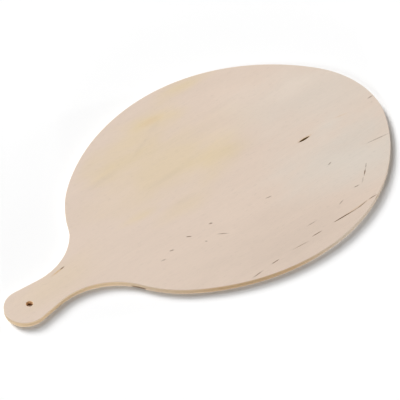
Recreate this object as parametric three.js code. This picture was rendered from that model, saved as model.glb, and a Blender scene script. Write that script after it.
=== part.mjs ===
// Pizza board: an oval of birch plywood with a handle, and a hole in the handle to hang it by.
// The plywood is three rotary-cut veneers, the core's grain across that of the face and the back, and a film
// of glue holds each pair together. The outline and the hole are cut through the whole stack, and the outer
// edges are sanded round. The face veneer has an open split along its grain.
// Millimetres, +Z up. The board lies on its back veneer. The origin is on that face, under the middle of the
// board's length, and +X runs from the handle to the far end.

import * as THREE from "three";
import { toCreasedNormals } from "three/addons/utils/BufferGeometryUtils.js";

// Oval: a flat arc along each side and a tighter one round each end
const OVAL_LENGTH = 389;
const OVAL_WIDTH = 300;
const OVAL_FAR_RADIUS = 97;
const OVAL_NEAR_RADIUS = 126; // at the handle's end of the oval, of which only the shoulders are left

// Handle: a round end, straight flanks and a fillet into the oval at the neck
const HANDLE_LENGTH = 111; // from the handle's end to the oval's near end
const HANDLE_END_RADIUS = 22.5;
const FLANK_TAPER = 0.13; // how far each flank draws in for each millimetre towards the neck
const NECK_RADIUS = 73;

// Hang hole
const HANG_HOLE_DIAMETER = 7;
const HANG_HOLE_FROM_END = 27; // from the handle's end to the hole's centre

// Split in the face veneer, pointed at both ends
const SPLIT_LENGTH = 16;
const SPLIT_WIDTH = 1.8;
const SPLIT_FROM_FAR_END = 108; // from the oval's far end to the split's middle
const SPLIT_OFF_AXIS = 20; // to the right, seen from the handle
const GRAIN_SLANT_DEGREES = -3.5; // of the face veneer's grain, from the board's axis

// Lay-up
const VENEER_THICKNESS = 1.9;
const GLUE_THICKNESS = 0.15;
const ARRIS_RADIUS = 0.6; // the sanded edge round the face and the back
const ARRIS_STEPS = 3;

const CHORD_ERROR = 0.05; // the most that a straight stretch stands off the arc it follows
const SAME_POINT = 1e-6; // points closer than this are one
const CREASE_ANGLE = Math.PI / 6; // edges sharper than this are shaded as edges

// Points from one end of an arc to the other. Their number follows the radius before the inset, which draws
// the arc towards its centre.
function arc(centre, radius, inset, from, to) {
  const longestStep = 2 * Math.acos(1 - CHORD_ERROR / radius);
  const steps = Math.max(1, Math.round(Math.abs(to - from) / longestStep));
  const clockwise = to < from;
  const drawn = radius - inset;
  return new THREE.EllipseCurve(centre.x, centre.y, drawn, drawn, from, to, clockwise).getPoints(steps);
}

// A closed loop of points, each met once.
function closedLoop(points) {
  return points.filter((point, i) => point.distanceTo(points.at(i - 1)) > SAME_POINT);
}

function angleFrom(centre, point) {
  return Math.atan2(point.y - centre.y, point.x - centre.x);
}

const boardLength = HANDLE_LENGTH + OVAL_LENGTH;
const halfLength = OVAL_LENGTH / 2;
const halfWidth = OVAL_WIDTH / 2;
const ovalMiddle = boardLength / 2 - halfLength;

// One half of the oval, towards +X or -X: the arcs round its end and along its side, and the angle from the
// board's axis at which they meet without a corner.
function ovalHalf(endRadius, towards) {
  const sideRadius =
    (halfLength ** 2 + halfWidth ** 2 - 2 * halfLength * endRadius) / (2 * (halfWidth - endRadius));
  const end = new THREE.Vector2(ovalMiddle + towards * (halfLength - endRadius), 0);
  const side = new THREE.Vector2(ovalMiddle, halfWidth - sideRadius);
  return { end, endRadius, side, sideRadius, joint: angleFrom(side, end) };
}

const far = ovalHalf(OVAL_FAR_RADIUS, 1);
const near = ovalHalf(OVAL_NEAR_RADIUS, -1);

// Handle: its end's centre, and its flank's direction and outward normal
const handleEnd = new THREE.Vector2(HANDLE_END_RADIUS - boardLength / 2, 0);
const flank = new THREE.Vector2(1, -FLANK_TAPER).normalize();
const flankNormal = new THREE.Vector2(-flank.y, flank.x);
const flankAngle = flankNormal.angle();

// Centre of a neck fillet that touches the flank and an arc of the oval.
function neckFillet(centre, radius) {
  const start = handleEnd.clone().addScaledVector(flankNormal, HANDLE_END_RADIUS + NECK_RADIUS);
  const gap = centre.clone().sub(start);
  const back = Math.sqrt((radius + NECK_RADIUS) ** 2 - gap.cross(flank) ** 2);
  return start.addScaledVector(flank, gap.dot(flank) - back);
}

// The fillet touches the near end's arc, or the side's where the neck is wide.
const neckAtEnd = neckFillet(near.end, near.endRadius);
const neckIsNarrow = angleFrom(near.end, neckAtEnd) >= near.joint;
const neck = neckIsNarrow ? neckAtEnd : neckFillet(near.side, near.sideRadius);
const neckTouch = angleFrom(neckIsNarrow ? near.end : near.side, neck);
const sideStop = neckIsNarrow ? near.joint : neckTouch;

// The board's outline, drawn in by inset, anticlockwise from the far end.
function boardOutline(inset) {
  const upper = [
    ...arc(far.end, far.endRadius, inset, 0, far.joint),
    ...arc(far.side, far.sideRadius, inset, far.joint, Math.PI / 2),
    ...arc(near.side, near.sideRadius, inset, Math.PI / 2, sideStop),
    ...(neckIsNarrow ? arc(near.end, near.endRadius, inset, near.joint, neckTouch) : []),
    ...arc(neck, NECK_RADIUS, -inset, neckTouch - Math.PI, flankAngle - Math.PI),
    ...arc(handleEnd, HANDLE_END_RADIUS, inset, flankAngle, Math.PI),
  ];
  const lower = upper.toReversed().map(({ x, y }) => new THREE.Vector2(x, -y));
  return closedLoop([...upper, ...lower]);
}

// The hang hole, clockwise as an opening is.
function hangHole() {
  const centre = new THREE.Vector2(HANG_HOLE_FROM_END - boardLength / 2, 0);
  return closedLoop(arc(centre, HANG_HOLE_DIAMETER / 2, 0, 2 * Math.PI, 0));
}

// The split, clockwise: two like arcs that meet in a point at each end of its length.
function veneerSplit() {
  const radius = (SPLIT_LENGTH ** 2 + SPLIT_WIDTH ** 2) / (4 * SPLIT_WIDTH);
  const offset = radius - SPLIT_WIDTH / 2;
  const spread = Math.asin(SPLIT_LENGTH / (2 * radius));
  const up = Math.PI / 2;
  const lens = [
    ...arc(new THREE.Vector2(0, -offset), radius, 0, up + spread, up - spread),
    ...arc(new THREE.Vector2(0, offset), radius, 0, spread - up, -spread - up),
  ];
  const origin = new THREE.Vector2();
  const place = new THREE.Vector2(boardLength / 2 - SPLIT_FROM_FAR_END, -SPLIT_OFF_AXIS);
  const slant = THREE.MathUtils.degToRad(GRAIN_SLANT_DEGREES);
  return closedLoop(lens.map((point) => point.rotateAround(origin, slant).add(place)));
}

// A layer's rim, as heights and insets from its underside up: square, or with a quarter round at one face
const quarterRound = Array.from({ length: ARRIS_STEPS + 1 }, (_, i) => {
  const angle = (i / ARRIS_STEPS) * (Math.PI / 2);
  return { depth: ARRIS_RADIUS * (1 - Math.cos(angle)), inset: ARRIS_RADIUS * (1 - Math.sin(angle)) };
});

function squareRim(bottom, top) {
  return [{ z: bottom, inset: 0 }, { z: top, inset: 0 }];
}

function rimRoundBelow(bottom, top) {
  return [...quarterRound.map(({ depth, inset }) => ({ z: bottom + depth, inset })), { z: top, inset: 0 }];
}

function rimRoundAbove(bottom, top) {
  const round = quarterRound.toReversed();
  return [{ z: bottom, inset: 0 }, ...round.map(({ depth, inset }) => ({ z: top - depth, inset }))];
}

// The solid of one layer: a ring of points at each height of its rim, walls from ring to ring along the
// outline and the openings, and flat faces below and above.
function layerSolid(rim, openings) {
  const rings = rim.map(({ inset }) => [boardOutline(inset), ...openings]);
  const ringSize = rings[0].flat().length;
  const positions = rim.flatMap(({ z }, k) => rings[k].flat().flatMap(({ x, y }) => [x, y, z]));
  const triangles = [];

  for (let k = 0; k < rim.length - 1; k++) {
    let first = k * ringSize;
    for (const loop of rings[k]) {
      for (let i = 0; i < loop.length; i++) {
        const here = first + i;
        const next = first + ((i + 1) % loop.length);
        triangles.push(here, next, next + ringSize, here, next + ringSize, here + ringSize);
      }
      first += loop.length;
    }
  }

  const topStart = (rim.length - 1) * ringSize;
  for (const [a, b, c] of THREE.ShapeUtils.triangulateShape(rings.at(0)[0], openings)) {
    triangles.push(c, b, a);
  }
  for (const [a, b, c] of THREE.ShapeUtils.triangulateShape(rings.at(-1)[0], openings)) {
    triangles.push(topStart + a, topStart + b, topStart + c);
  }

  const geometry = new THREE.BufferGeometry();
  geometry.setAttribute("position", new THREE.Float32BufferAttribute(positions, 3));
  geometry.setIndex(triangles);
  return toCreasedNormals(geometry, CREASE_ANGLE);
}

function wood(colour) {
  return new THREE.MeshStandardMaterial({ color: colour, roughness: 0.7, metalness: 0 });
}

function glue() {
  return new THREE.MeshStandardMaterial({ color: "#a8845a", roughness: 0.5, metalness: 0 });
}

const board = new THREE.Group();
board.name = "pizza_board";
let stackTop = 0;

// Lays one layer on those that are already there.
function lay(name, thickness, rim, openings, material) {
  const bottom = stackTop;
  stackTop += thickness;
  const layer = new THREE.Mesh(layerSolid(rim(bottom, stackTop), openings), material);
  layer.name = name;
  board.add(layer);
}

// The lay-up, from the resting face up
const hole = hangHole();
lay("back_veneer", VENEER_THICKNESS, rimRoundBelow, [hole], wood("#d8c4aa"));
lay("lower_glue_line", GLUE_THICKNESS, squareRim, [hole], glue());
lay("core_veneer", VENEER_THICKNESS, squareRim, [hole], wood("#c8a988"));
lay("upper_glue_line", GLUE_THICKNESS, squareRim, [hole], glue());
lay("face_veneer", VENEER_THICKNESS, rimRoundAbove, [hole, veneerSplit()], wood("#dcccb8"));

export default board;
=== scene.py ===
# Pizza board: a sheet of three-ply birch plywood, sawn to an oval with a handle and sanded smooth.
# Metres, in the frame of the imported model: the board lies on its back veneer, +X runs from the handle to the
# far end, and +Y is to the left of the handle.

import math

import bmesh
import bpy
from mathutils import Color, Euler, Matrix, Vector


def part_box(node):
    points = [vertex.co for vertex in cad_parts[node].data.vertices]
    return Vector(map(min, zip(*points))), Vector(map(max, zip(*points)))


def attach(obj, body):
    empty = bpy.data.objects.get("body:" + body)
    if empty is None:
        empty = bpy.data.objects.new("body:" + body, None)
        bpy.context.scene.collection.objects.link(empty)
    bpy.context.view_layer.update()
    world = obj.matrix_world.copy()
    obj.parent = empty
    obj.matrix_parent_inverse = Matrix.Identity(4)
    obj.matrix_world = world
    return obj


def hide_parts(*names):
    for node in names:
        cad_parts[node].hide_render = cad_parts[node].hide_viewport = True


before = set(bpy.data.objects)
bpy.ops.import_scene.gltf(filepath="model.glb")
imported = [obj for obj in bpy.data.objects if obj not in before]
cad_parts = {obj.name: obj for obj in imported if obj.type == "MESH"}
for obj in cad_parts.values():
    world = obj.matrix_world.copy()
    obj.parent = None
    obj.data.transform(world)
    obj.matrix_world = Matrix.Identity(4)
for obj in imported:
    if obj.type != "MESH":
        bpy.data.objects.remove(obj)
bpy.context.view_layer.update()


# Camera: a long lens held high, off the handle's end and its right-hand side.
# It is aimed at the serving face, close to the middle of the board.
CAMERA_AIM = Vector((-0.0011, -0.0103, 0.006))
CAMERA_TURN = math.radians(-41.7)
CAMERA_ELEVATION = math.radians(45.4)
CAMERA_ROLL = math.radians(-1.3)
CAMERA_DISTANCE = 2.095
CAMERA_LENS = 180.0  # millimetres

camera = bpy.data.objects.new("camera", bpy.data.cameras.new("camera"))
camera.data.lens = CAMERA_LENS
level_view = Euler((math.pi / 2 - CAMERA_ELEVATION, 0, CAMERA_TURN)).to_matrix()
camera.rotation_euler = (level_view @ Matrix.Rotation(CAMERA_ROLL, 3, "Z")).to_euler()
camera.location = CAMERA_AIM + level_view @ Vector((0, 0, CAMERA_DISTANCE))
bpy.context.collection.objects.link(camera)
bpy.context.scene.camera = camera


# Back veneer: a sheet of birch peeled from the log, its grain along the handle. The board lies on it.
# It is sawn to the board's outline together with the layers above it, and its lower edge is sanded round.
# A short stretch of its right-hand edge, close to the neck, has a gap in it.
OVAL_LENGTH = 0.389
OVAL_FAR_RADIUS = 0.097
OVAL_NEAR_RADIUS = 0.126  # at the handle's end of the oval, of which only the shoulders are left
HANDLE_END_RADIUS = 0.0225
FLANK_TAPER = 0.13  # how far each flank of the handle draws in for each metre towards the neck
NECK_RADIUS = 0.073
HOLE_CENTRE = Vector((-0.223, 0))
HOLE_RADIUS = 0.0035
HOLE_EASE = 0.0003  # how far sanding has opened the hole at the outer faces
ARRIS_RADIUS = 0.0003
ARRIS_SEGMENTS = 4
CHORD_ERROR = 0.00002  # the most that a straight stretch stands off its arc
SAME_POINT = 0.000001
SHARP_EDGE = math.radians(40)
FLAT_FACE = 0.999  # the vertical part of a flat face's normal

back_low, back_high = (Vector(corner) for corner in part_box("back_veneer"))

# Oval: a flat arc along each side and a tighter one round each end
half_length = OVAL_LENGTH / 2
half_width = back_high.y
oval_middle = back_high.x - half_length


def bearing(offset):
    return math.atan2(offset.y, offset.x)


def oval_half(end_radius, towards):
    """One half of the oval, towards +X or -X: the centres of the arcs round its end and along its side, and
    the bearing at which they meet without a corner."""
    bulge = half_length**2 + half_width**2 - 2 * half_length * end_radius
    side_radius = bulge / (2 * (half_width - end_radius))
    end = Vector((oval_middle + towards * (half_length - end_radius), 0))
    side = Vector((oval_middle, half_width - side_radius))
    return end, side, bearing(end - side)


far_end, far_side, far_joint = oval_half(OVAL_FAR_RADIUS, 1)
near_end, near_side, near_joint = oval_half(OVAL_NEAR_RADIUS, -1)

# Handle: a round end, straight flanks and a fillet into the oval at the neck
handle_end = Vector((back_low.x + HANDLE_END_RADIUS, 0))
flank = Vector((1, -FLANK_TAPER)).normalized()
flank_normal = Vector((-flank.y, flank.x))
beside_end = handle_end + flank_normal * (HANDLE_END_RADIUS + NECK_RADIUS)
to_oval = near_end - beside_end
to_touch = math.sqrt((OVAL_NEAR_RADIUS + NECK_RADIUS) ** 2 - to_oval.cross(flank) ** 2)
neck = beside_end + flank * (to_oval.dot(flank) - to_touch)
neck_touch = bearing(neck - near_end)
flank_bearing = bearing(flank_normal)


def sweep(bm, vertex, centre, angle):
    """Draws an arc from a vertex round a centre and returns the vertex at its other end."""
    radius = (vertex.co.xy - centre).length
    steps = max(1, round(abs(angle) / (2 * math.acos(1 - CHORD_ERROR / radius))))
    pivot = (centre.x, centre.y, vertex.co.z)
    swept = bmesh.ops.spin(bm, geom=[vertex], cent=pivot, axis=(0, 0, 1), angle=angle, steps=steps)
    return next(item for item in swept["geom_last"] if isinstance(item, bmesh.types.BMVert))


def draw_outline(bm, height):
    """Draws the board's outline, one half from the far end round to the handle's end and then its mirror."""
    vertex = bm.verts.new((back_high.x, 0, height))
    vertex = sweep(bm, vertex, far_end, far_joint)
    vertex = sweep(bm, vertex, far_side, math.pi / 2 - far_joint)
    vertex = sweep(bm, vertex, near_side, near_joint - math.pi / 2)
    vertex = sweep(bm, vertex, near_end, neck_touch - near_joint)
    vertex = sweep(bm, vertex, neck, flank_bearing - neck_touch)
    vertex = bmesh.ops.extrude_vert_indiv(bm, verts=[vertex])["verts"][0]
    vertex.co.xy = handle_end + flank_normal * HANDLE_END_RADIUS
    sweep(bm, vertex, handle_end, math.pi - flank_bearing)
    half = [*bm.verts, *bm.edges]
    bmesh.ops.mirror(bm, geom=half, matrix=Matrix(), merge_dist=SAME_POINT, axis="Y")


def at_height(items, height):
    return [item for item in items if all(abs(vertex.co.z - height) < SAME_POINT for vertex in item.verts)]


def saw_layer(bottom, top, round_at=None):
    """A layer of the plywood with the board's outline, still without its flat faces. Its rim is square, or
    has a sanded arris at one height."""
    bm = bmesh.new()
    draw_outline(bm, bottom)
    sheet = bmesh.ops.edgeloop_fill(bm, edges=bm.edges)["faces"]
    raised = bmesh.ops.extrude_face_region(bm, geom=sheet, use_keep_orig=True)["geom"]
    lifted = [item for item in raised if isinstance(item, bmesh.types.BMVert)]
    bmesh.ops.translate(bm, verts=lifted, vec=(0, 0, top - bottom))
    bmesh.ops.recalc_face_normals(bm, faces=bm.faces)
    if round_at is not None:
        bmesh.ops.bevel(
            bm,
            geom=at_height(bm.edges, round_at),
            offset=ARRIS_RADIUS,
            affect="EDGES",
            segments=ARRIS_SEGMENTS,
            profile=0.5,
            material=-1,
        )
    flat_faces = at_height(bm.faces, bottom) + at_height(bm.faces, top)
    bmesh.ops.delete(bm, geom=flat_faces, context="FACES_ONLY")
    return bm


def extrude_ring(bm, edges, height, widening=1.0):
    """Walls from a ring of edges up to a height, where the hang hole may be wider. Returns the upper
    ring."""
    grown = bmesh.ops.extrude_edge_only(bm, edges=edges)["geom"]
    vertices = [item for item in grown if isinstance(item, bmesh.types.BMVert)]
    bmesh.ops.translate(bm, verts=vertices, vec=(0, 0, height - edges[0].verts[0].co.z))
    about_hole = Matrix.Translation((-HOLE_CENTRE.x, -HOLE_CENTRE.y, 0))
    bmesh.ops.scale(bm, verts=vertices, vec=(widening, widening, 1), space=about_hole)
    grown_edges = [item for item in grown if isinstance(item, bmesh.types.BMEdge)]
    return [edge for edge in grown_edges if all(vertex in vertices for vertex in edge.verts)]


def drill_hole(bm, bottom, top, eased_below=False, eased_above=False):
    """The hang hole's wall through one layer, opened a little at an outer face."""
    eased = (HOLE_RADIUS + HOLE_EASE) / HOLE_RADIUS
    steps = round(math.pi / math.acos(1 - CHORD_ERROR / HOLE_RADIUS))
    start = HOLE_RADIUS * eased if eased_below else HOLE_RADIUS
    place = Matrix.Translation((HOLE_CENTRE.x, HOLE_CENTRE.y, bottom))
    circle = bmesh.ops.create_circle(bm, segments=steps, radius=start, matrix=place)["verts"]
    ring = list({edge for vertex in circle for edge in vertex.link_edges})
    if eased_below:
        ring = extrude_ring(bm, ring, bottom + HOLE_EASE, 1 / eased)
    if eased_above:
        ring = extrude_ring(bm, ring, top - HOLE_EASE)
        extrude_ring(bm, ring, top, eased)
    else:
        extrude_ring(bm, ring, top)


def make_layer(bm, name, bottom, top, material):
    """Closes a layer's flat faces round its openings and makes it a piece of the board."""
    for height, facing in ((bottom, -1), (top, 1)):
        rings = [edge for edge in at_height(bm.edges, height) if edge.is_boundary]
        bmesh.ops.triangle_fill(bm, edges=rings, use_beauty=True, normal=(0, 0, facing))
    bmesh.ops.recalc_face_normals(bm, faces=bm.faces)
    for face in bm.faces:
        face.smooth = abs(face.normal.z) < FLAT_FACE
    for edge in bm.edges:
        edge.smooth = edge.calc_face_angle(0) < SHARP_EDGE
    mesh = bpy.data.meshes.new(name)
    bm.to_mesh(mesh)
    bm.free()
    mesh.materials.append(material)
    layer = bpy.data.objects.new(name, mesh)
    bpy.context.collection.objects.link(layer)
    return layer


FULL_LEVEL = 255


def tone(red, green, blue):
    """A colour from its levels on screen, in the linear values that shaders take."""
    screen = Color((red / FULL_LEVEL, green / FULL_LEVEL, blue / FULL_LEVEL))
    return (*screen.from_srgb_to_scene_linear(), 1)


def node(tree, kind, feeds, **settings):
    """Adds a shader node. Each of its feeds is a value or a socket to link."""
    made = tree.nodes.new("ShaderNode" + kind)
    for name, value in settings.items():
        setattr(made, name, value)
    for key, feed in feeds.items():
        if isinstance(feed, bpy.types.NodeSocket):
            tree.links.new(feed, made.inputs[key])
        else:
            made.inputs[key].default_value = feed
    return made


def maths(tree, operation, *feeds):
    return node(tree, "Math", dict(enumerate(feeds)), operation=operation).outputs[0]


def stretch(tree, vector, by):
    return node(tree, "VectorMath", {0: vector, 1: by}, operation="MULTIPLY").outputs[0]


def noise(tree, vector, detail, roughness=0.5):
    feeds = {"Vector": vector, "Scale": 1.0, "Detail": detail, "Roughness": roughness}
    return node(tree, "TexNoise", feeds).outputs[0]


def ramp(tree, value, start, end, low=0.0, high=1.0):
    """Goes smoothly from low to high as the value goes from start to end."""
    feeds = {"Value": value, 1: start, 2: end, 3: low, 4: high}
    return node(tree, "MapRange", feeds, interpolation_type="SMOOTHSTEP").outputs[0]


def mix(tree, factor, first, second, blend="MIX"):
    feeds = {0: factor, 6: first, 7: second}
    return node(tree, "Mix", feeds, data_type="RGBA", blend_type=blend).outputs[2]


def shade(tree, colour, level):
    """A colour made lighter or darker."""
    return node(tree, "VectorMath", {0: colour, "Scale": level}, operation="SCALE").outputs[0]


def new_group(name, inputs, outputs):
    """A node group with named sockets. Returns it with the sockets that its nodes read and fill."""
    group = bpy.data.node_groups.new(name, "ShaderNodeTree")
    for socket, kind in inputs.items():
        group.interface.new_socket(socket, in_out="INPUT", socket_type="NodeSocket" + kind)
    for socket, kind in outputs.items():
        group.interface.new_socket(socket, in_out="OUTPUT", socket_type="NodeSocket" + kind)
    return group, group.nodes.new("NodeGroupInput").outputs, group.nodes.new("NodeGroupOutput").inputs


# Birch grain as a peeled veneer shows it: fine fibres, short dark pores, faint growth bands and a soft
# mottle. Each pattern repeats so often in a millimetre, along the grain, across it and through the sheet.
WAVER_REPEATS = (0.007, 0.011, 0.011)
WAVER_DETAIL = 1.0
WAVER_REACH = 20.0  # millimetres that the grain wanders sideways
FIBRE_REPEATS = (0.016, 0.9, 0.9)
FIBRE_DETAIL = 4.0
FIBRE_ROUGHNESS = 0.6
PORE_REPEATS = (0.13, 3.2, 3.2)
PORE_DETAIL = 0.0
PORE_START = 0.66
PORE_FULL = 0.78
BAND_REPEATS = (0.0022, 0.013, 0.013)
BAND_DETAIL = 1.5
BAND_SWING = 70.0  # radians
MOTTLE_REPEATS = (0.009, 0.022, 0.022)
MOTTLE_DETAIL = 3.0

birch_grain, given, wanted = new_group(
    "birch_grain",
    {"Position": "Vector", "Turn": "Float", "Shift": "Vector"},
    {"Fibre": "Float", "Pores": "Float", "Bands": "Float", "Mottle": "Float"},
)
turned = node(
    birch_grain,
    "VectorRotate",
    {"Vector": given["Position"], "Angle": given["Turn"]},
    rotation_type="Z_AXIS",
    invert=True,
).outputs[0]
along = node(birch_grain, "VectorMath", {0: turned, 1: given["Shift"]}, operation="ADD").outputs[0]
waver = noise(birch_grain, stretch(birch_grain, along, WAVER_REPEATS), WAVER_DETAIL)
wander = maths(birch_grain, "MULTIPLY", waver, WAVER_REACH)
sideways = node(birch_grain, "CombineXYZ", {"Y": wander}).outputs[0]
wavy = node(birch_grain, "VectorMath", {0: along, 1: sideways}, operation="ADD").outputs[0]
fibre = noise(birch_grain, stretch(birch_grain, wavy, FIBRE_REPEATS), FIBRE_DETAIL, FIBRE_ROUGHNESS)
birch_grain.links.new(fibre, wanted["Fibre"])
dashes = noise(birch_grain, stretch(birch_grain, wavy, PORE_REPEATS), PORE_DETAIL)
birch_grain.links.new(ramp(birch_grain, dashes, PORE_START, PORE_FULL), wanted["Pores"])
drift = noise(birch_grain, stretch(birch_grain, wavy, BAND_REPEATS), BAND_DETAIL)
swing = maths(birch_grain, "SINE", maths(birch_grain, "MULTIPLY", drift, BAND_SWING))
birch_grain.links.new(maths(birch_grain, "MULTIPLY_ADD", swing, 0.5, 0.5), wanted["Bands"])  # 0 to 1
mottle = noise(birch_grain, stretch(birch_grain, wavy, MOTTLE_REPEATS), MOTTLE_DETAIL)
birch_grain.links.new(mottle, wanted["Mottle"])

# Sawn and sanded edge of a ply: lines along it where the grain runs with the edge, specks where it is cut
# across. The limits are for the part of the surface's normal that lies along the grain, or upright.
END_GRAIN_START = 0.35
END_GRAIN_FULL = 0.9
LINE_REPEATS = (0.035, 0.035, 2.6)
LINE_DETAIL = 3.0
SPECK_REPEATS = (1.3, 1.3, 0.9)
SPECK_DETAIL = 2.0
ARRIS_START = 0.05
ARRIS_FULL = 0.5
FLAT_START = 0.85
FLAT_FULL = 0.98

ply_edge, given, wanted = new_group(
    "ply_edge",
    {"Position": "Vector", "Normal": "Vector", "Turn": "Float"},
    {"End Grain": "Float", "Lines": "Float", "Arris": "Float", "Flat": "Float"},
)
facing = node(
    ply_edge,
    "VectorRotate",
    {"Vector": given["Normal"], "Angle": given["Turn"]},
    rotation_type="Z_AXIS",
    invert=True,
).outputs[0]
facing_parts = node(ply_edge, "SeparateXYZ", {0: facing}).outputs
along_grain = maths(ply_edge, "ABSOLUTE", facing_parts["X"])
end_grain = ramp(ply_edge, along_grain, END_GRAIN_START, END_GRAIN_FULL)
ply_edge.links.new(end_grain, wanted["End Grain"])
lines = noise(ply_edge, stretch(ply_edge, given["Position"], LINE_REPEATS), LINE_DETAIL)
specks = noise(ply_edge, stretch(ply_edge, given["Position"], SPECK_REPEATS), SPECK_DETAIL)
both = node(ply_edge, "Mix", {0: end_grain, 2: lines, 3: specks}, data_type="FLOAT").outputs[0]
ply_edge.links.new(both, wanted["Lines"])
upright = maths(ply_edge, "ABSOLUTE", facing_parts["Z"])
ply_edge.links.new(ramp(ply_edge, upright, ARRIS_START, ARRIS_FULL), wanted["Arris"])
ply_edge.links.new(ramp(ply_edge, upright, FLAT_START, FLAT_FULL), wanted["Flat"])

# One mark in a veneer: a long, soft-edged patch, from a hairline to a broad stain
veneer_mark, given, wanted = new_group(
    "veneer_mark",
    {
        "Position": "Vector",
        "Place": "Vector",
        "Turn": "Float",
        "Half Size": "Vector",
        "Softness": "Float",
        "Ragged": "Float",
    },
    {"Mask": "Float"},
)
from_place = node(
    veneer_mark, "VectorMath", {0: given["Position"], 1: given["Place"]}, operation="SUBTRACT"
).outputs[0]
in_line = node(
    veneer_mark,
    "VectorRotate",
    {"Vector": from_place, "Angle": given["Turn"]},
    rotation_type="Z_AXIS",
    invert=True,
).outputs[0]
share = node(veneer_mark, "VectorMath", {0: in_line, 1: given["Half Size"]}, operation="DIVIDE").outputs[0]
reach = node(veneer_mark, "VectorMath", {0: share}, operation="LENGTH").outputs["Value"]
reach = maths(veneer_mark, "ADD", reach, given["Ragged"])
inner = maths(veneer_mark, "SUBTRACT", 1.0, given["Softness"])
veneer_mark.links.new(ramp(veneer_mark, reach, 1.0, inner), wanted["Mask"])

MARK_HALF_DEPTH = 1000  # millimetres, so that a mark goes right through its ply
BITE_RATIO = 0.4  # how often bites repeat along the board for each time across it
BITE_DETAIL = 2.0
EVEN = 0.0  # the raggedness of a mark with an even edge


def add_marks(tree, position, softness, ragged, rows):
    """The sum of some marks in a veneer. A row gives two ends and a width, in millimetres, and a
    strength."""
    total = 0.0
    for start, end, width, strength in rows:
        run = Vector(end) - Vector(start)
        middle = (Vector(end) + Vector(start)) / 2
        feeds = {
            "Position": position,
            "Place": (middle.x, middle.y, 0),
            "Turn": bearing(run),
            "Half Size": ((run.length + width) / 2, width / 2, MARK_HALF_DEPTH),
            "Softness": softness,
            "Ragged": ragged,
        }
        mask = node(tree, "Group", feeds, node_tree=veneer_mark).outputs[0]
        total = maths(tree, "MULTIPLY_ADD", mask, strength, total)
    return total


def ragged_edge(tree, position, size, amount):
    """What makes the edges of marks uneven, in bites of about a size in millimetres."""
    bites = noise(tree, stretch(tree, position, (BITE_RATIO / size, 1 / size, 1 / size)), BITE_DETAIL)
    return maths(tree, "MULTIPLY_ADD", bites, amount, -amount / 2)


MM_PER_METRE = 1000


def position_in_mm(tree):
    """The place on a piece, in millimetres."""
    metres = node(tree, "TexCoord", {}).outputs["Object"]
    return stretch(tree, metres, (MM_PER_METRE, MM_PER_METRE, MM_PER_METRE))


def start_ply(name, turn, shift):
    """A new material for one ply. Returns it with the place in millimetres and the birch grain there."""
    material = bpy.data.materials.new(name)
    material.use_nodes = True
    tree = material.node_tree
    tree.nodes.clear()
    position = position_in_mm(tree)
    feeds = {"Position": position, "Turn": turn, "Shift": shift}
    return material, position, node(tree, "Group", feeds, node_tree=birch_grain).outputs


BIRCH_BASE = 0.925
FIBRE_LEVEL = 0.08
BAND_LEVEL = 0.012
MOTTLE_LEVEL = 0.06
PORE_LEVEL = -0.10


def birch_level(tree, grain):
    """How light the wood is along its grain, about 1."""
    level = maths(tree, "MULTIPLY_ADD", grain["Fibre"], FIBRE_LEVEL, BIRCH_BASE)
    level = maths(tree, "MULTIPLY_ADD", grain["Bands"], BAND_LEVEL, level)
    level = maths(tree, "MULTIPLY_ADD", grain["Mottle"], MOTTLE_LEVEL, level)
    return maths(tree, "MULTIPLY_ADD", grain["Pores"], PORE_LEVEL, level)


# Stretches of the sawn edge, as rows of marks: darker and browner along the belly, lighter along the handle
# Partly browner wood, partly painted shade where the belly's edge faces away from the lamps
BELLY_BROWNING_AND_SHADE = [
    ((-90, -110), (40, -152), 70, 1.3),
    ((-140, -60), (-55, -124), 60, 0.45),
]
BROWNING_AND_SHADE_TINT = (0.88, 0.74, 0.55, 1)
# Painted light: the handle's edge made lighter, standing in for the extra light on it
HANDLE_PAINTED_LIGHT = [
    ((-320, -10), (-80, -40), 100, 1.2),
    ((-140, -60), (-75, -118), 50, 0.25),
]
PAINTED_LIGHT_TINT = (1.2, 1.08, 0.88, 1)
STRETCH_SOFTNESS = 1.0
WALL_SOFTNESS = 0.3
# Painted shade: the rounded arris is given a tone darker than the face, so that it doesn't light up under the
# lamps
ARRIS_SHADE_TONE = tone(206, 190, 172)
EDGE_BASE = 0.8
EDGE_LINE_LEVEL = 0.4
PORE_RELIEF = -0.5
RELIEF_STRENGTH = 0.18
RELIEF_HEIGHT = 0.0002
WOOD_ROUGHNESS = 0.55
RELIEF_ROUGHNESS = 0.2
WOOD_SPECULAR = 0.2


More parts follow.
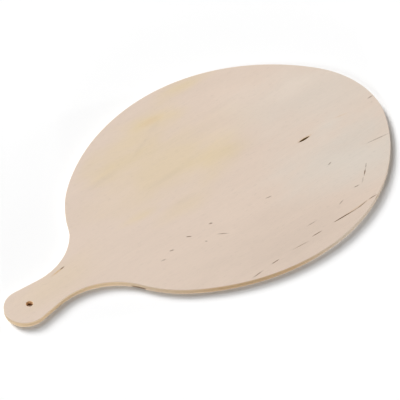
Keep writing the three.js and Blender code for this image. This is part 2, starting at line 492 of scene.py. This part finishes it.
def finish_ply(material, position, grain, turn, face_colour, edge_tone, end_tone, walls):
    """Adds the sawn edge, the shader and the fine relief to a ply's material. Each set of walls inside the
    ply has the rows of its marks and a tone."""
    tree = material.node_tree
    # Masks of the painted shade along the belly's edge and the painted light along the handle's edge
    browning_and_shade = add_marks(tree, position, STRETCH_SOFTNESS, EVEN, BELLY_BROWNING_AND_SHADE)
    painted_light = add_marks(tree, position, STRETCH_SOFTNESS, EVEN, HANDLE_PAINTED_LIGHT)
    inside = [(add_marks(tree, position, WALL_SOFTNESS, EVEN, rows), wall_tone) for rows, wall_tone in walls]
    normal = node(tree, "TexCoord", {}).outputs["Normal"]
    feeds = {"Position": position, "Normal": normal, "Turn": turn}
    edge = node(tree, "Group", feeds, node_tree=ply_edge).outputs
    edge_colour = mix(tree, edge["End Grain"], edge_tone, end_tone)
    # Painted shade along the belly's edge, then painted light along the handle's edge
    edge_colour = mix(tree, browning_and_shade, edge_colour, BROWNING_AND_SHADE_TINT, "MULTIPLY")
    edge_colour = mix(tree, painted_light, edge_colour, PAINTED_LIGHT_TINT, "MULTIPLY")
    edge_level = maths(tree, "MULTIPLY_ADD", edge["Lines"], EDGE_LINE_LEVEL, EDGE_BASE)
    edge_colour = shade(tree, edge_colour, edge_level)
    # Painted shade on the rounded arris
    edge_colour = mix(tree, edge["Arris"], edge_colour, ARRIS_SHADE_TONE)
    for mask, wall_tone in inside:
        edge_colour = mix(tree, mask, edge_colour, wall_tone)
    colour = mix(tree, edge["Flat"], edge_colour, face_colour)
    feeds = {0: edge["Flat"], 2: edge["Lines"], 3: grain["Fibre"]}
    relief = node(tree, "Mix", feeds, data_type="FLOAT").outputs[0]
    relief = maths(tree, "MULTIPLY_ADD", grain["Pores"], PORE_RELIEF, relief)
    feeds = {"Strength": RELIEF_STRENGTH, "Distance": RELIEF_HEIGHT, "Height": relief}
    bump = node(tree, "Bump", feeds).outputs[0]
    roughness = maths(tree, "MULTIPLY_ADD", relief, RELIEF_ROUGHNESS, WOOD_ROUGHNESS)
    feeds = {"Base Color": colour, "Roughness": roughness, "Normal": bump}
    shader = node(tree, "BsdfPrincipled", feeds)
    shader.inputs["Specular IOR Level"].default_value = WOOD_SPECULAR
    node(tree, "OutputMaterial", {"Surface": shader.outputs[0]})


BACK_GRAIN_TURN = math.radians(2.0)
BACK_EDGE_TURN = 0.0  # the sawn edge is read along the handle's line
BACK_GRAIN_SHIFT = (400, -1300, 700)  # millimetres, to a stretch of grain of its own
BACK_FLECKS = [
    ((-120, 62), (-96, 63), 1.2, 0.45),
    ((15, -88), (52, -87), 1.0, 0.4),
    ((96, 41), (104, 45), 1.6, 0.5),
    ((150, 70), (171, 71), 1.1, 0.4),
    ((-35, 18), (-31, 16), 2.2, 0.5),
    ((188, -31), (222, -30), 1.0, 0.35),
]
BACK_STAINS = [
    ((-60, -70), (90, -64), 60, 0.3),
    ((60, 95), (160, 98), 40, 0.3),
]
# Where the hang hole's wall is painted: light in the two upper plies, shade in the back ply
HOLE_LIGHT_AND_SHADE_WALLS = [
    ((-223, -1), (-223, 1), 18, 1.0),
]
STAIN_SOFTNESS = 1.0
STAIN_BITE = 20.0  # millimetres
FLECK_SOFTNESS = 0.7
FLECK_BITE = 0.8  # millimetres
RAGGEDNESS = 0.8
BACK_TONE = tone(221, 201, 180)
BACK_STAIN_TONE = tone(215, 196, 168)
BACK_FLECK_TONE = tone(128, 96, 66)
BACK_EDGE_TONE = tone(204, 191, 177)
BACK_END_TONE = tone(199, 186, 171)
# Painted shade: a dark tone for the hang hole's wall in the back ply, for the shaded bottom of the hole
HOLE_PAINTED_SHADE_TONE = tone(108, 64, 30)

back_birch, position, grain = start_ply("birch_back", BACK_GRAIN_TURN, BACK_GRAIN_SHIFT)
tree = back_birch.node_tree
stain_edge = ragged_edge(tree, position, STAIN_BITE, RAGGEDNESS)
stains = add_marks(tree, position, STAIN_SOFTNESS, stain_edge, BACK_STAINS)
fleck_edge = ragged_edge(tree, position, FLECK_BITE, RAGGEDNESS)
flecks = add_marks(tree, position, FLECK_SOFTNESS, fleck_edge, BACK_FLECKS)
colour = mix(tree, stains, BACK_TONE, BACK_STAIN_TONE)
colour = shade(tree, colour, birch_level(tree, grain))
colour = mix(tree, flecks, colour, BACK_FLECK_TONE)
# Painted shade on the hang hole's wall in this ply
walls = [(HOLE_LIGHT_AND_SHADE_WALLS, HOLE_PAINTED_SHADE_TONE)]
finish_ply(back_birch, position, grain, BACK_EDGE_TURN, colour, BACK_EDGE_TONE, BACK_END_TONE, walls)

# The gap's two ends, across the board
GAP_FROM = -0.0622
GAP_TO = -0.0503
GAP_SILL = 0.0004  # height of the gap's lower side
GAP_LIP = 0.0001  # what is left of the ply round the rest of the gap
GAP_INWARD = Vector((0.0037, 0.0016, 0))  # into the ply, about square to its edge


def open_gap(bm, start, end, sill):
    """A pocket in a layer's edge on the handle's half of the board, between two places across the board
    and above a sill, where the ply is missing."""
    bmesh.ops.recalc_face_normals(bm, faces=bm.faces)
    wall = []
    for face in bm.faces:
        middle = face.calc_center_median()
        if start < middle.y < end and middle.x < 0 and abs(face.normal.z) < 1 - FLAT_FACE:
            wall.append(face)
    edges = {edge for face in wall for edge in face.edges}
    cut = bmesh.ops.bisect_plane(bm, geom=[*wall, *edges], plane_co=(0, 0, sill), plane_no=(0, 0, 1))
    halves = [item for item in cut["geom"] if isinstance(item, bmesh.types.BMFace)]
    mouth = [face for face in halves if face.calc_center_median().z > sill]
    bmesh.ops.inset_region(bm, faces=mouth, thickness=GAP_LIP, use_even_offset=True)
    pocket = list({vertex for face in mouth for vertex in face.verts})
    bmesh.ops.translate(bm, verts=pocket, vec=GAP_INWARD)


bm = saw_layer(back_low.z, back_high.z, round_at=back_low.z)
open_gap(bm, GAP_FROM, GAP_TO, GAP_SILL)
drill_hole(bm, back_low.z, back_high.z, eased_below=True)
back_veneer = make_layer(bm, "back_veneer_birch", back_low.z, back_high.z, back_birch)
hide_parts("back_veneer")
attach(back_veneer, "root")


# Lower glue line: the film of hard, amber wood glue that holds the core to the back.
# It is sawn and sanded with the veneers, so all that shows of it is a hairline round the edge.
# Darker and browner on the glue where it is the floor of the splits
SPLIT_FLOOR_DARKENING = [
    ((130, -19), (155, -20), 10, 1),
    ((15, -128), (140, -133), 14, 1),
]
SPLIT_FLOOR_SOFTNESS = 0.3
SPLIT_FLOOR_TONE = tone(122, 102, 56)
THICK_GLUE_TONE = tone(140, 104, 66)
THIN_GLUE_TONE = tone(180, 144, 98)
SPREAD_REPEATS = (0.26, 0.26, 0.26)
SPREAD_DETAIL = 3.0
# How far the glue is spread, from 0 to 1, where it counts as thick or thin, smooth or rough
THICK_GLUE = 0.35
THIN_GLUE = 0.65
SMOOTH_GLUE = 0.3
ROUGH_GLUE = 0.7
GLUE_LEAST_ROUGHNESS = 0.35
GLUE_MOST_ROUGHNESS = 0.6

wood_glue = bpy.data.materials.new("wood_glue")
wood_glue.use_nodes = True
tree = wood_glue.node_tree
tree.nodes.clear()
position = position_in_mm(tree)
spread = noise(tree, stretch(tree, position, SPREAD_REPEATS), SPREAD_DETAIL)
colour = mix(tree, ramp(tree, spread, THICK_GLUE, THIN_GLUE), THICK_GLUE_TONE, THIN_GLUE_TONE)
# Darker and browner at the floor of the splits
split_floor = add_marks(tree, position, SPLIT_FLOOR_SOFTNESS, EVEN, SPLIT_FLOOR_DARKENING)
colour = mix(tree, split_floor, colour, SPLIT_FLOOR_TONE)
roughness = ramp(tree, spread, SMOOTH_GLUE, ROUGH_GLUE, GLUE_LEAST_ROUGHNESS, GLUE_MOST_ROUGHNESS)
shader = node(tree, "BsdfPrincipled", {"Base Color": colour, "Roughness": roughness})
node(tree, "OutputMaterial", {"Surface": shader.outputs[0]})


def glue_line(node_name, piece_name):
    """One glue film, with the outline and the hole of the veneers."""
    low, high = (Vector(corner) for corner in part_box(node_name))
    bm = saw_layer(low.z, high.z)
    drill_hole(bm, low.z, high.z)
    film = make_layer(bm, piece_name, low.z, high.z, wood_glue)
    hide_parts(node_name)
    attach(film, "root")


glue_line("lower_glue_line", "lower_glue_film")


# Core veneer: birch laid with its grain across the board, so that its ends show along the sides.
# It is a little darker than the outer plies, and sawn and drilled with them.
CORE_GRAIN_TURN = math.radians(88.5)
CORE_GRAIN_SHIFT = (1900, 600, 200)
CORE_DARK_TONE = tone(198, 168, 134)
CORE_LIGHT_TONE = tone(212, 184, 152)
CORE_EDGE_TONE = tone(186, 172, 155)
CORE_END_TONE = tone(181, 166, 148)
# Painted light: a pale tone for the hang hole's wall, for the lit upper part of the hole
HOLE_PAINTED_LIGHT_TONE = tone(242, 210, 172)  # of the hang hole's wall in the two upper plies

core_low, core_high = (Vector(corner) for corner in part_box("core_veneer"))
core_birch, position, grain = start_ply("birch_core", CORE_GRAIN_TURN, CORE_GRAIN_SHIFT)
tree = core_birch.node_tree
colour = mix(tree, grain["Mottle"], CORE_DARK_TONE, CORE_LIGHT_TONE)
colour = shade(tree, colour, birch_level(tree, grain))
# Painted light on the hang hole's wall in this ply
walls = [(HOLE_LIGHT_AND_SHADE_WALLS, HOLE_PAINTED_LIGHT_TONE)]
finish_ply(core_birch, position, grain, CORE_GRAIN_TURN, colour, CORE_EDGE_TONE, CORE_END_TONE, walls)

bm = saw_layer(core_low.z, core_high.z)
drill_hole(bm, core_low.z, core_high.z)
core_veneer = make_layer(bm, "core_veneer_birch", core_low.z, core_high.z, core_birch)
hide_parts("core_veneer")
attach(core_veneer, "root")


# Upper glue line: the film of the same glue that holds the face to the core.
# It shows as a hairline round the edge, and as the floor of the splits in the face.
glue_line("upper_glue_line", "upper_glue_film")


# Face veneer: a sheet of pale birch peeled from the log, its grain a few degrees off the handle's line.
# It is glued to the core, sanded and left raw, with small knots, flecks, stains and open splits.
# Its upper edge is sanded round.
FACE_GRAIN_TURN = math.radians(-3.5)
FACE_GRAIN_SHIFT = (0, 0, 0)
SPLITS = [  # two ends and a width, in millimetres
    ((134.5, -19.5), (150.5, -20.5), 2.5),
    ((76, -129.5), (106.5, -132), 0.9),
    ((108, -132.5), (126.5, -131), 0.5),
    ((128, -131), (139, -131.5), 0.5),
    ((19, -128), (40.5, -130.5), 0.3),
    ((46.5, -128.5), (60.5, -129.5), 0.6),
    ((239.5, -22), (246, -22.5), 0.5),
]
SPLIT_WALLS = [
    ((130, -19), (155, -20), 10, 1),
    ((72, -130), (140, -133), 8, 1),
    ((15, -128), (64, -130), 8, 1),
]
FLECKS = [
    ((52, -114.5), (67.5, -115.5), 1.4, 0.5),
    ((-11.5, -127.5), (1.5, -128), 1.3, 1),
    ((-38, -128), (-22, -128), 1.7, 0.7),
    ((183, -70), (219, -77), 1.8, 0.5),
    ((238.5, -22), (247.5, -22), 1.6, 0.5),
    ((237, -28.5), (239, -29), 1.8, 0.2),
    ((165.5, -91), (158.5, -96.5), 1.8, 0.5),
    ((158.5, -96.5), (149, -103.5), 1.6, 1),
    ((149, -103), (139, -110), 1.8, 0.3),
    ((133, -66), (139, -64.5), 1.9, 0.6),
    ((50, -56), (57.5, -57.5), 1.8, 0.6),
    ((128, -108), (136.5, -109.5), 1.5, 0.8),
    ((99, -115.5), (108.5, -113), 1.5, 0.5),
    ((-47.5, -39.5), (-43, -43), 1.7, 1),
    ((-22.5, -58), (-11.5, -66.5), 1.3, 0.8),
    ((-17.5, -42.5), (-14.5, -43.5), 2.6, 0.7),
    ((-37, -58), (-36, -59), 2.3, 0.5),
    ((-73, -43), (-69, -44.5), 2.6, 0.6),
    ((-89, -47.5), (-83, -48.5), 2.2, 0.4),
    ((-171.5, 14.5), (-165, 15), 1.9, 0.9),
    ((17.5, -127.5), (41.5, -131), 1.4, 0.3),
    ((45.5, -128.5), (61, -129.5), 1.2, 0.5),
    ((75, -129), (107, -132), 1.6, 0.6),
    ((107, -132.5), (127, -131), 1.5, 0.4),
    ((127, -131), (141, -132), 1.5, 0.5),
    ((98, -132), (118, -132), 1.5, 0.4),
]
TAN_STREAKS = [
    ((-186, 13), (-164, 15), 3, 0.8),
    ((132, -19), (156, -20), 6, 0.5),
    ((74, -130), (144, -132), 3, 0.3),
    ((26, 116), (56, 115), 14, 0.2),
    ((186, -18), (209, -23.5), 2.5, 0.3),
]
YELLOW_STAINS = [
    ((-80, 51), (99, 56), 110, 0.5),
    ((5, 126), (82, 103), 32, 0.5),
    ((25, 33), (96, 29), 48, 0.2),
    ((-94, 18), (-37, 12), 18, 0.4),
    ((60, 138), (150, 130), 26, 0.6),
    ((-76, 99), (-26, 125), 22, 0.2),
    ((-240, 0), (-130, 4), 60, 0.25),
    ((-60, 88), (60, 118), 70, 0.5),
    ((-55, -4), (26, -10), 32, 0.3),
    ((10, 15), (90, 22), 60, 0.3),
]
GREY_STAINS = [
    ((100, -50), (215, -95), 150, 0.9),
    ((150, 40), (250, 0), 180, 0.55),
]
FIGURE_AND_SHADE_BANDS = [  # a strength below 0 is a lighter band
    ((-98, 81), (-12, 84), 10, 0.8),
    ((-16, 84), (29, 101), 10, 0.8),
    ((25, 102), (49, 110), 12, 0.8),
    ((-36, 41), (22, 37), 12, 0.9),
    ((0, 39), (68, 44), 12, 0.4),
    ((-58, 12), (-28, 8), 16, 0.4),
    ((-34, 3.5), (6, -0.5), 12, 0.6),
    ((69, 80), (147, 80), 13, 0.6),
    ((50, 21), (109, 19), 34, 0.5),
    ((1, -75), (52, -76), 22, 0.5),
    ((-100, -87), (32, -93), 60, 0.4),
    ((69, 53), (99, 51), 38, -0.5),
    ((162, 50), (220, 46), 38, -0.6),
    ((154, -33), (164, -34), 10, -0.5),
    # Painted shade and light: the rows from here on darken the face across its near half, away from the lamps,
    # and lighten it along its far side, towards them
    ((-60, -122), (140, -128), 110, 1.5),
    ((100, -55), (230, -60), 70, 0.6),
    ((-20, -75), (60, -80), 60, 0.5),
    ((60, 100), (240, 60), 90, -0.6),
]
STREAK_SOFTNESS = 0.9
FIGURE_AND_SHADE_LEVEL = -0.05
FACE_TONE = tone(217, 198, 182)
YELLOW_TONE = tone(218, 198, 158)
GREY_TONE = tone(214, 204, 192)
STREAK_TONE = tone(205, 170, 125)
FLECK_TONE = tone(110, 84, 62)
FACE_EDGE_TONE = tone(190, 175, 159)
FACE_END_TONE = tone(184, 170, 154)
# A darker, browner tone for the walls inside the splits
SPLIT_WALL_TONE = tone(148, 120, 66)

face_low, face_high = (Vector(corner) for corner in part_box("face_veneer"))
face_birch, position, grain = start_ply("birch_face", FACE_GRAIN_TURN, FACE_GRAIN_SHIFT)
tree = face_birch.node_tree
stain_edge = ragged_edge(tree, position, STAIN_BITE, RAGGEDNESS)
fleck_edge = ragged_edge(tree, position, FLECK_BITE, RAGGEDNESS)
yellow = add_marks(tree, position, STAIN_SOFTNESS, stain_edge, YELLOW_STAINS)
grey = add_marks(tree, position, STAIN_SOFTNESS, stain_edge, GREY_STAINS)
figure_and_shade = add_marks(tree, position, STAIN_SOFTNESS, stain_edge, FIGURE_AND_SHADE_BANDS)
streaks = add_marks(tree, position, STREAK_SOFTNESS, fleck_edge, TAN_STREAKS)
flecks = add_marks(tree, position, FLECK_SOFTNESS, fleck_edge, FLECKS)
colour = mix(tree, yellow, FACE_TONE, YELLOW_TONE)
colour = mix(tree, grey, colour, GREY_TONE)
# Dark and light bands of the grain, and the painted shade and light across the face
level = maths(tree, "MULTIPLY_ADD", figure_and_shade, FIGURE_AND_SHADE_LEVEL, birch_level(tree, grain))
colour = shade(tree, colour, level)
colour = mix(tree, streaks, colour, STREAK_TONE)
colour = mix(tree, flecks, colour, FLECK_TONE)
# A darker, browner tone inside the splits, and painted light on the hang hole's wall
walls = [(SPLIT_WALLS, SPLIT_WALL_TONE), (HOLE_LIGHT_AND_SHADE_WALLS, HOLE_PAINTED_LIGHT_TONE)]
finish_ply(face_birch, position, grain, FACE_GRAIN_TURN, colour, FACE_EDGE_TONE, FACE_END_TONE, walls)


def open_split(bm, start, end, width, bottom, top):
    """The walls of a split through the ply: two like arcs that meet in a point at each end."""
    run = end - start
    radius = (run.length_squared + width**2) / (4 * width)
    spread = 2 * math.asin(run.length / (2 * radius))
    across = Vector((-run.y, run.x)).normalized() * (radius - width / 2)
    middle = (start + end) / 2
    tip = bm.verts.new((*start, bottom))
    other_tip = sweep(bm, tip, middle - across, -spread)
    last = sweep(bm, other_tip, middle + across, -spread)
    bmesh.ops.pointmerge(bm, verts=[tip, last], merge_co=tip.co)
    loop = [edge for edge in at_height(bm.edges, bottom) if not edge.link_faces]
    extrude_ring(bm, loop, top)


bm = saw_layer(face_low.z, face_high.z, round_at=face_high.z)
drill_hole(bm, face_low.z, face_high.z, eased_above=True)
for start, end, width in SPLITS:
    ends = Vector(start) / MM_PER_METRE, Vector(end) / MM_PER_METRE
    open_split(bm, *ends, width / MM_PER_METRE, face_low.z, face_high.z)
face_veneer = make_layer(bm, "face_veneer_birch", face_low.z, face_high.z, face_birch)
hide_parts("face_veneer")
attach(face_veneer, "root")


# Floor: a plain white sheet that the board lies on, wide enough to fill the view.
# It is matt, and all that shows on it is the board's soft shadow.
FLOOR_HALF_SIZE = 4.0
WHITE = (1, 1, 1, 1)

white_sheet = bpy.data.materials.new("white_sheet")
white_sheet.use_nodes = True
sheet_shader = white_sheet.node_tree.nodes["Principled BSDF"]
sheet_shader.inputs["Base Color"].default_value = WHITE
sheet_shader.inputs["Roughness"].default_value = 1.0
sheet_shader.inputs["Specular IOR Level"].default_value = 0.0
bm = bmesh.new()
bmesh.ops.create_grid(bm, x_segments=1, y_segments=1, size=FLOOR_HALF_SIZE)
floor_mesh = bpy.data.meshes.new("floor")
bm.to_mesh(floor_mesh)
bm.free()
floor_mesh.materials.append(white_sheet)
floor = bpy.data.objects.new("floor", floor_mesh)
bpy.context.collection.objects.link(floor)


# Light: two broad lamps behind the board's left side, one off the handle's end, and two faint ones that
# graze the edge from the front and the far end, in a white room.
# Each level is the share of full white that it gives a white floor.
LAMPS = [  # name, towards the lamp, angle across it, level
    ("high_key_light", Vector((0.03, 1.0, 0.97)), math.radians(32), 0.345),
    ("low_key_light", Vector((0.03, 1.0, 0.49)), math.radians(18), 0.456),
    ("handle_light", Vector((-0.97, -0.26, 0.45)), math.radians(12), 0.096),
    ("front_light", Vector((-0.6, -0.8, 0.04)), math.radians(3), 0.0225),
    ("far_light", Vector((0.92, -0.4, 0.04)), math.radians(3), 0.026),
]
ROOM_LEVEL = 0.07
SEEN_LEVEL = 1.0  # of the room where it is looked at

for name, towards, angle, level in LAMPS:
    lamp = bpy.data.lights.new(name, "SUN")
    lamp.angle = angle
    lamp.energy = level * math.pi / towards.normalized().z
    light = bpy.data.objects.new(name, lamp)
    light.rotation_euler = towards.to_track_quat("Z", "Y").to_euler()
    bpy.context.collection.objects.link(light)

room = bpy.data.worlds.new("room")
room.use_nodes = True
tree = room.node_tree
tree.nodes.clear()
rays = node(tree, "LightPath", {}).outputs
seen = maths(tree, "MAXIMUM", rays["Is Camera Ray"], rays["Is Glossy Ray"])
seen = maths(tree, "MAXIMUM", seen, rays["Is Transmission Ray"])
strength = node(tree, "MapRange", {"Value": seen, 3: ROOM_LEVEL, 4: SEEN_LEVEL}).outputs[0]
background = node(tree, "Background", {"Color": WHITE, "Strength": strength})
node(tree, "OutputWorld", {"Surface": background.outputs[0]})
bpy.context.scene.world = room
bpy.context.scene.view_settings.view_transform = "Standard"
